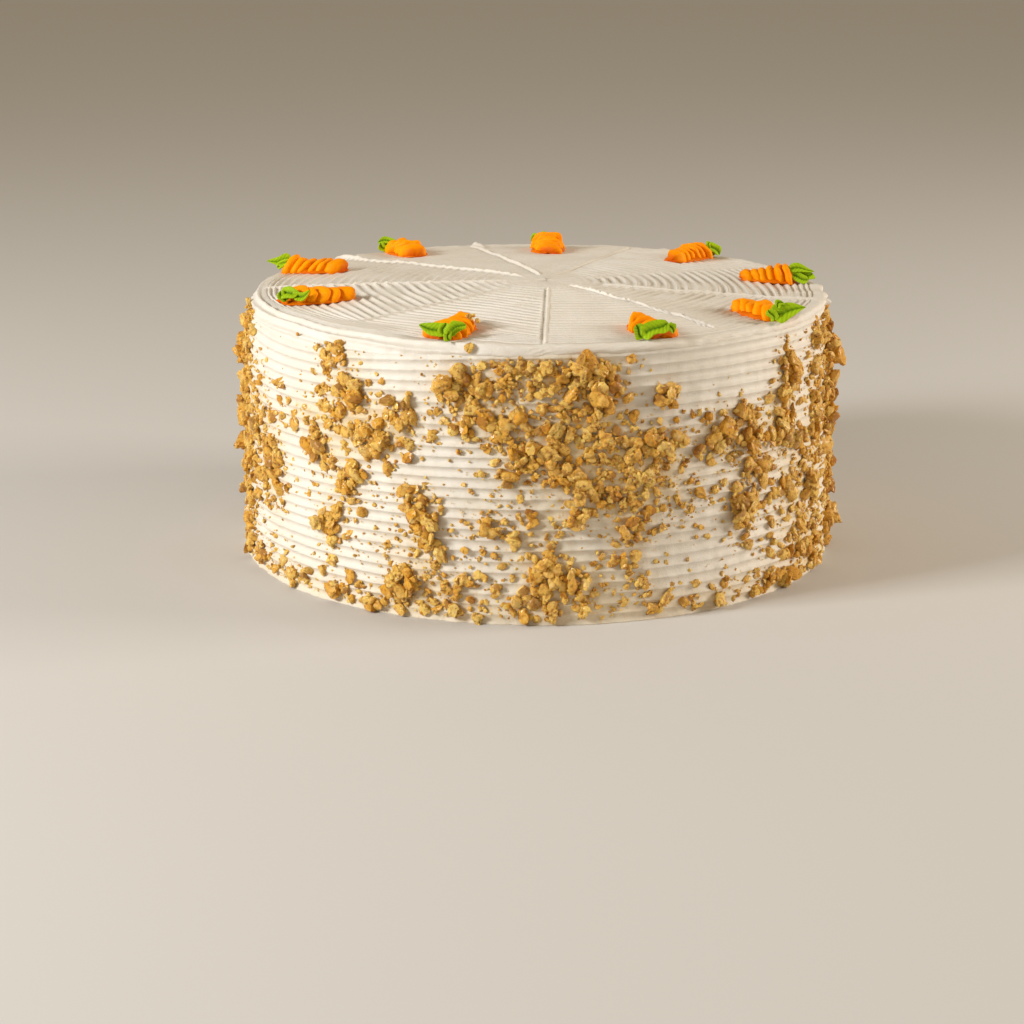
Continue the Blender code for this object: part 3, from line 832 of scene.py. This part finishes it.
def lumps_piece(name, seed, rings, around, theta, rise, size, flatness, sink, lumpiness, creases, pale):
    """One kind of chopped walnut as one joined mesh on the wall."""
    dice = np.random.default_rng(seed)
    ball, count = unit_ball(rings, around), len(theta)
    shapes, skin = lump_shapes(dice, ball, count, lumpiness, creases)
    half = 0.5 * size
    spread = np.stack([half * dice.uniform(0.85, 1.30, count), half * dice.uniform(0.70, 1.0, count),
                       half * dice.uniform(*flatness, count)], axis=-1)
    shapes = turned(dice, shapes, spread)
    lean = dice.normal(0.0, 0.22, (count, 2))
    shapes[..., 2] = shapes[..., 2] + shapes[..., 0] * lean[:, :1] + shapes[..., 1] * lean[:, 1:]
    rise = np.maximum(rise, 0.9 * half)
    sunk = np.clip(sink + dice.uniform(-0.15, 0.20, count), 0.1, 0.8)
    out = pile_up(theta, rise, half, spread[:, 2], sunk)
    radius = wall_radius(rise) - 0.6 * MM + out
    c, s = np.cos(theta)[:, None], np.sin(theta)[:, None]
    away = radius[:, None] + shapes[..., 2]
    x = away * c - shapes[..., 0] * s
    y = away * s + shapes[..., 0] * c
    z = rise[:, None] + shapes[..., 1]
    points = np.stack([x, y, np.maximum(z, 0.05 * MM)], axis=-1)
    quads, triangles = joined_faces(*ring_faces(rings, around), count, len(ball))
    piece = add_piece(name, points.reshape(-1, 3), quads, triangles, "walnut")
    tone = np.clip(dice.normal(pale, 0.34, count) + 1.4 * (sunk - sink), 0.0, 1.0)
    piece.data.set_sharp_from_angle(angle=math.radians(38.0))
    paint(piece, "tone", np.repeat(tone, len(ball)))
    paint(piece, "skin", skin)
    print(name, count, "lumps,", len(piece.data.polygons), "faces")
    return piece


# %% The large chunks
# single chunks beside the clumps: bearing, height and size (mm)
SINGLE_CHUNKS = (
    (-134, 80, 6), (-128, 74, 8), (-119, 67, 9), (-133, 59, 8), (-124, 51, 7), (-127, 46, 7), (-129, 36, 8),
    (-133, 30, 7), (-130, 24, 6), (-113, 46, 6), (-109, 28, 6), (-116, 15, 6), (-106, 89, 8), (-99, 78, 9),
    (-102, 75, 7), (-84, 86, 7), (-79, 84, 8), (-76, 90, 7), (-66, 84, 6), (-86, 73, 7), (-95, 56, 6),
    (-76, 48, 8), (-82, 40, 7), (-99, 38, 6), (-94, 33, 7), (-81, 17, 7), (-71, 16, 6), (-54, 70, 7),
    (-38, 77, 7), (-39, 70, 7), (-47, 51, 6), (-51, 34, 8), (-33, 57, 8), (-27, 36, 9), (-31, 13, 7),
    (-8, 79, 9), (-10, 71, 9), (-7, 62, 8), (-12, 54, 9), (-8, 44, 9), (-10, 28, 9), (-9, 14, 9), (-6, 5, 8),
    (-173, 80, 9), (-170, 71, 9), (-174, 62, 8), (-171, 55, 9), (-159, 56, 8), (-161, 43, 9), (-168, 36, 8),
    (-162, 93, 7), (-102, 102, 5), (-154, 6, 8), (-130, 5, 8), (-104, 4, 7), (-87, 4, 8), (-69, 4, 7),
    (-55, 4, 7), (-37, 4, 8), (-120, 3, 6), (-142, 5, 7), (-177, 91, 9), (-176, 83, 11), (-178, 75, 10),
    (-175, 66, 9), (-176, 57, 10), (-177, 41, 8), (-176, 23, 8), (-178, 12, 8), (-3, 82, 10), (-4, 61, 10),
    (-2, 46, 9), (-3, 33, 9))


def chunk_places():
    """Places and sizes of the chunks: five for each clump of the model, the singles, and their like
    on the back."""
    dice = np.random.default_rng(500)
    theta, rise, size = [], [], []
    for number in range(1, 41):
        clump_low, clump_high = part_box(f"walnut_{number:02d}")
        x, y, z = centre_of(f"walnut_{number:02d}")
        across = clump_high[2] - clump_low[2]
        for turn in dice.uniform(0.0, 2.0 * np.pi) + np.radians([0.0, 72.0, 144.0, 216.0, 288.0]):
            step = across * dice.uniform(0.26, 0.46)
            theta.append(math.atan2(y, x) + step * math.cos(turn) / FOOT_RADIUS)
            rise.append(z + step * math.sin(turn))
            size.append(across * dice.uniform(0.34, 0.68))
    for bearing, height, across in SINGLE_CHUNKS[::-1]:
        theta += [math.radians(bearing), math.radians(bearing + BACK_TURN + dice.uniform(-4, 4))]
        rise += [height * MM, min(height + dice.uniform(-4, 4), 92.0) * MM]
        size += [across * MM * dice.uniform(0.78, 1.02), across * MM * dice.uniform(0.7, 1.0)]
    return np.array(theta), np.array(rise), np.array(size)


walnut_chunks = lumps_piece("walnut_chunks", 510, 13, 21, *chunk_places(), (0.62, 0.90), 0.28, 0.085, 3, 0.45)
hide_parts(*[f"walnut_{number:02d}" for number in range(1, 41)])


# %% The smaller pieces, crumbs and dust
def scattered(name, seed, count, power, low_size, high_size, rings, around, sink, pale, flatness):
    """One kind of small walnut pieces, thick where the cover is thick."""
    dice = np.random.default_rng(seed)
    theta, rise = sample_places(dice, count, power, 2.0, 99.0)
    size = (low_size + (high_size - low_size) * dice.random(len(theta)) ** 2.0) * MM
    order = np.argsort(-size)
    return lumps_piece(name, seed + 1, rings, around, theta[order], rise[order], size[order], flatness, sink,
                       0.085, 1, pale)


walnut_pieces = scattered("walnut_pieces", 520, 1300, 0.95, 3.4, 6.6, 7, 10, 0.40, 0.50, (0.45, 0.85))
walnut_bits = scattered("walnut_bits", 525, 2700, 0.85, 2.0, 4.2, 5, 7, 0.40, 0.58, (0.40, 0.85))
walnut_crumbs = scattered("walnut_crumbs", 530, 5300, 0.7, 1.0, 2.4, 3, 6, 0.36, 0.70, (0.4, 0.9))
walnut_dust = scattered("walnut_dust", 540, 8500, 0.5, 0.5, 1.2, 2, 5, 0.30, 0.80, (0.5, 0.9))


# %% Crumbs stuck to the first carrot
def crumbs_on_carrot():
    """A pinch of pale crumbs on the tip of the first carrot."""
    dice = np.random.default_rng(550)
    ball, count = unit_ball(7, 11), 9
    shapes, skin = lump_shapes(dice, ball, count, 0.06, 1)
    half = dice.uniform(0.7, 1.3, (count, 1, 1)) * MM
    spot = centre_of("carrot_1") + np.array([5.4, 0.5, 1.9]) * MM
    offsets = dice.normal(0.0, 1.0, (count, 3)) * np.array([1.2, 1.0, 0.9]) * MM
    points = shapes * half + (spot + offsets)[:, None, :]
    faces = joined_faces(*ring_faces(7, 11), count, len(ball))
    piece = add_piece("walnut_on_carrot", points.reshape(-1, 3), *faces, "walnut")
    piece.data.set_sharp_from_angle(angle=math.radians(38.0))
    paint(piece, "tone", np.full(count * len(ball), 0.95))
    paint(piece, "skin", 0.3 * skin)
    return piece


walnut_on_carrot = crumbs_on_carrot()

# %% [markdown]
# ## Finishes
# Icing has a fine grain and is never one even colour. One node group works out both, and every icing
# material has it with its own scale. The shaders stay in the materials.


# %% Helpers for materials
def new_material(name):
    """(material, nodes, links, Principled shader) of a new material with an empty tree."""
    material = bpy.data.materials.new(name)
    material.use_nodes = True
    nodes, links = material.node_tree.nodes, material.node_tree.links
    nodes.clear()
    output = nodes.new("ShaderNodeOutputMaterial")
    shader = nodes.new("ShaderNodeBsdfPrincipled")
    links.new(shader.outputs["BSDF"], output.inputs["Surface"])
    return material, nodes, links, shader


def mix_colour(tree, factor, first, second):
    """A Mix node of two colours. Each of the three may be a value or a socket."""
    node = tree.nodes.new("ShaderNodeMix")
    node.data_type = "RGBA"
    for socket, value in ((node.inputs[0], factor), (node.inputs[6], first), (node.inputs[7], second)):
        if isinstance(value, bpy.types.NodeSocket):
            tree.links.new(value, socket)
        else:
            socket.default_value = (*value, 1.0) if isinstance(value, tuple) else value
    return node.outputs[2]


def number_math(tree, operation, first, second=0.0, third=0.0, clamp=False):
    """A Math node. Each operand may be a number or a socket."""
    node = tree.nodes.new("ShaderNodeMath")
    node.operation = operation
    node.use_clamp = clamp
    for socket, value in zip(node.inputs, (first, second, third)):
        if isinstance(value, bpy.types.NodeSocket):
            tree.links.new(value, socket)
        else:
            socket.default_value = value
    return node.outputs[0]


def attribute(tree, name):
    """The stored number of that name."""
    node = tree.nodes.new("ShaderNodeAttribute")
    node.attribute_name = name
    return node.outputs["Fac"]


def noise(tree, vector, scale, detail, roughness=0.55):
    """A Noise texture's value."""
    node = tree.nodes.new("ShaderNodeTexNoise")
    tree.links.new(vector, node.inputs["Vector"])
    node.inputs["Scale"].default_value = scale
    node.inputs["Detail"].default_value = detail
    node.inputs["Roughness"].default_value = roughness
    return node.outputs["Fac"]


# %% The shared grain group
def make_grain_group():
    """Soft mottle and fine grain over a surface, in Object coordinates, so it stays with the piece."""
    group = bpy.data.node_groups.new("icing_grain", "ShaderNodeTree")
    group.interface.new_socket("Scale", in_out="INPUT", socket_type="NodeSocketFloat")
    group.interface.new_socket("Mottle", in_out="OUTPUT", socket_type="NodeSocketFloat")
    group.interface.new_socket("Height", in_out="OUTPUT", socket_type="NodeSocketFloat")
    inside = group.nodes.new("NodeGroupInput")
    outside = group.nodes.new("NodeGroupOutput")
    coordinates = group.nodes.new("ShaderNodeTexCoord")
    scaled = group.nodes.new("ShaderNodeVectorMath")
    scaled.operation = "SCALE"
    group.links.new(coordinates.outputs["Object"], scaled.inputs[0])
    group.links.new(inside.outputs["Scale"], scaled.inputs["Scale"])
    mottle = noise(group, scaled.outputs[0], 60.0, 3.0)
    coarse = noise(group, scaled.outputs[0], 420.0, 3.0)
    fine = noise(group, scaled.outputs[0], 1900.0, 2.0)
    height = number_math(group, "MULTIPLY_ADD", coarse, 0.6, fine)
    group.links.new(mottle, outside.inputs["Mottle"])
    group.links.new(height, outside.inputs["Height"])
    return group


grain_group = make_grain_group()


def add_grain(nodes, links, shader, scale, strength, distance):
    """Places the grain group in a material, bumps the shader with it, and returns its mottle."""
    grain = nodes.new("ShaderNodeGroup")
    grain.node_tree = grain_group
    grain.inputs["Scale"].default_value = scale
    bump = nodes.new("ShaderNodeBump")
    bump.inputs["Strength"].default_value = strength
    bump.inputs["Distance"].default_value = distance
    links.new(grain.outputs["Height"], bump.inputs["Height"])
    links.new(bump.outputs["Normal"], shader.inputs["Normal"])
    return grain.outputs["Mottle"]


# %% Frosting
def soften(shader, weight, radii, scale):
    """Lets light spread below the surface, by colour, over about `scale` metres."""
    shader.inputs["Subsurface Weight"].default_value = weight
    shader.inputs["Subsurface Radius"].default_value = radii
    shader.inputs["Subsurface Scale"].default_value = scale


def make_frosting():
    """Cream cheese frosting: warm ivory, faintly mottled, stained by nut oil, with a painted orange glow of bounce
    light near the carrots.
    """
    material, nodes, links, shader = new_material("cream_cheese_frosting")
    tree = material.node_tree
    mottle = add_grain(nodes, links, shader, 1.0, 0.40, 0.0004)
    patchy = number_math(tree, "MULTIPLY_ADD", mottle, 2.4, -0.75, clamp=True)
    base = mix_colour(tree, patchy, (0.70, 0.645, 0.555), (0.745, 0.70, 0.625))
    oil = number_math(tree, "MULTIPLY", attribute(tree, "oil"), 0.62)
    stained = mix_colour(tree, oil, base, (0.68, 0.53, 0.30))
    coordinates = nodes.new("ShaderNodeTexCoord").outputs["Object"]
    buried = number_math(tree, "MULTIPLY_ADD", noise(tree, coordinates, 330.0, 2.0, 0.6), 9.0, -5.2, clamp=True)
    buried = number_math(tree, "MULTIPLY", buried, number_math(tree, "MULTIPLY", attribute(tree, "oil"), 0.62))
    stained = mix_colour(tree, buried, stained, (0.66, 0.42, 0.14))
    # painted bounce light: an orange glow mixed into the frosting near the carrots
    painted_glow = number_math(tree, "MULTIPLY", attribute(tree, "painted_glow"), 0.30)
    coloured = mix_colour(tree, painted_glow, stained, (0.76, 0.47, 0.31))
    links.new(coloured, shader.inputs["Base Color"])
    shader.inputs["Roughness"].default_value = 0.52
    shader.inputs["Specular IOR Level"].default_value = 0.35
    soften(shader, 0.08, (1.0, 0.72, 0.45), 0.0012)
    return material


# %% Piped icing
def make_piped(name, light, painted_shade_colour, roughness):
    """Coloured buttercream with painted shade: its lit colour on the lobes, and a darker painted-shade colour in the
    creases, in the nozzle's grooves and low down.
    """
    material, nodes, links, shader = new_material(name)
    tree = material.node_tree
    mottle = add_grain(nodes, links, shader, 1.6, 0.45, 0.0003)
    # painted shade: the stored crease value, with a little mottle, mixes the lit colour towards the darker
    # painted-shade colour
    depth = number_math(tree, "MULTIPLY_ADD", mottle, 0.8, -0.40)
    depth = number_math(tree, "ADD", depth, attribute(tree, "crease_and_painted_shade"), clamp=True)
    links.new(mix_colour(tree, depth, light, painted_shade_colour), shader.inputs["Base Color"])
    shader.inputs["Roughness"].default_value = roughness
    shader.inputs["Specular IOR Level"].default_value = 0.07
    soften(shader, 0.10, (1.0, 0.35, 0.08), 0.0010)
    return material


# %% Walnut
def make_walnut():
    """Chopped walnut: amber flesh from pale to brown by piece, with painted shade in the dips of its fine bumps, pale
    crumbs that also serve as painted highlights, brown skin and an oily gleam.
    """
    material, nodes, links, shader = new_material("walnut_flesh")
    tree = material.node_tree
    mottle = add_grain(nodes, links, shader, 5.0, 1.0, 0.0003)
    coordinates = nodes.new("ShaderNodeTexCoord").outputs["Object"]
    crumble = noise(tree, coordinates, 620.0, 3.0, 0.6)
    lumps = nodes.new("ShaderNodeBump")
    lumps.inputs["Strength"].default_value = 1.0
    lumps.inputs["Distance"].default_value = 0.0005
    links.new(crumble, lumps.inputs["Height"])
    grain_bump = shader.inputs["Normal"].links[0].from_node
    links.new(lumps.outputs["Normal"], grain_bump.inputs["Normal"])
    flesh = mix_colour(tree, attribute(tree, "tone"), (0.84, 0.42, 0.040), (1.0, 0.665, 0.165))
    # painted shade: where the crumble bump dips, the flesh is mixed towards dark brown
    painted_pit_shade = number_math(tree, "MULTIPLY_ADD", crumble, -5.0, 2.6, clamp=True)
    flesh = mix_colour(tree, number_math(tree, "MULTIPLY", painted_pit_shade, 0.75), flesh, (0.46, 0.14, 0.004))
    # pale crumbs of flesh, which also stand in as painted highlights on the lumps
    pale_crumbs_and_painted_highlight = number_math(tree, "MULTIPLY_ADD", mottle, 4.0, -2.2, clamp=True)
    flesh = mix_colour(tree, number_math(tree, "MULTIPLY", pale_crumbs_and_painted_highlight, 0.70), flesh, (1.0, 0.76, 0.34))
    flecks = noise(tree, coordinates, 430.0, 4.0, 0.7)
    flecks = number_math(tree, "MULTIPLY_ADD", flecks, 12.0, -7.0, clamp=True)
    flesh = mix_colour(tree, number_math(tree, "MULTIPLY", flecks, 0.85), flesh, (0.22, 0.065, 0.006))
    edge = number_math(tree, "MULTIPLY_ADD", crumble, 2.0, -0.9)
    skin = number_math(tree, "MULTIPLY_ADD", attribute(tree, "skin"), 1.5, -0.80)
    skin = number_math(tree, "ADD", skin, number_math(tree, "MULTIPLY", edge, attribute(tree, "skin")), clamp=True)
    links.new(mix_colour(tree, number_math(tree, "MULTIPLY", skin, 0.80), flesh, (0.32, 0.105, 0.014)),
              shader.inputs["Base Color"])
    shader.inputs["Roughness"].default_value = 0.38
    shader.inputs["Specular IOR Level"].default_value = 0.25
    shader.inputs["Coat Weight"].default_value = 0.22
    shader.inputs["Coat Roughness"].default_value = 0.12
    soften(shader, 0.12, (1.0, 0.45, 0.10), 0.0012)
    return material


# %% Dress the pieces
frosting_finish = make_frosting()
# each piped icing is given a lit colour and a darker colour that is painted shade
carrot_finish = make_piped("carrot_buttercream", (1.0, 0.330, 0.0), (0.58, 0.085, 0.0), 0.48)
# the leaf icing likewise: a lit green and a darker green of painted shade
leaf_finish = make_piped("leaf_buttercream", (0.37, 0.55, 0.010), (0.07, 0.16, 0.003), 0.44)
walnut_finish = make_walnut()
for pieces, finish in (((frosting_side, frosting_top), frosting_finish), (carrots, carrot_finish),
                       (tufts, leaf_finish),
                       ((walnut_chunks, walnut_pieces, walnut_bits, walnut_crumbs, walnut_dust,
                         walnut_on_carrot), walnut_finish)):
    for piece in pieces:
        piece.data.materials.clear()
        piece.data.materials.append(finish)

# %% The floor
def make_floor():
    """A large plain floor of pale matt card."""
    mesh = bpy.data.meshes.new("floor")
    side = 12.0
    mesh.from_pydata([(-side, -side, 0), (side, -side, 0), (side, side, 0), (-side, side, 0)], [], [(0, 1, 2, 3)])
    floor = bpy.data.objects.new("floor", mesh)
    bpy.context.scene.collection.objects.link(floor)
    material, nodes, links, shader = new_material("pale_card")
    shader.inputs["Base Color"].default_value = (0.58, 0.565, 0.54, 1.0)
    shader.inputs["Roughness"].default_value = 0.85
    mesh.materials.append(material)


make_floor()
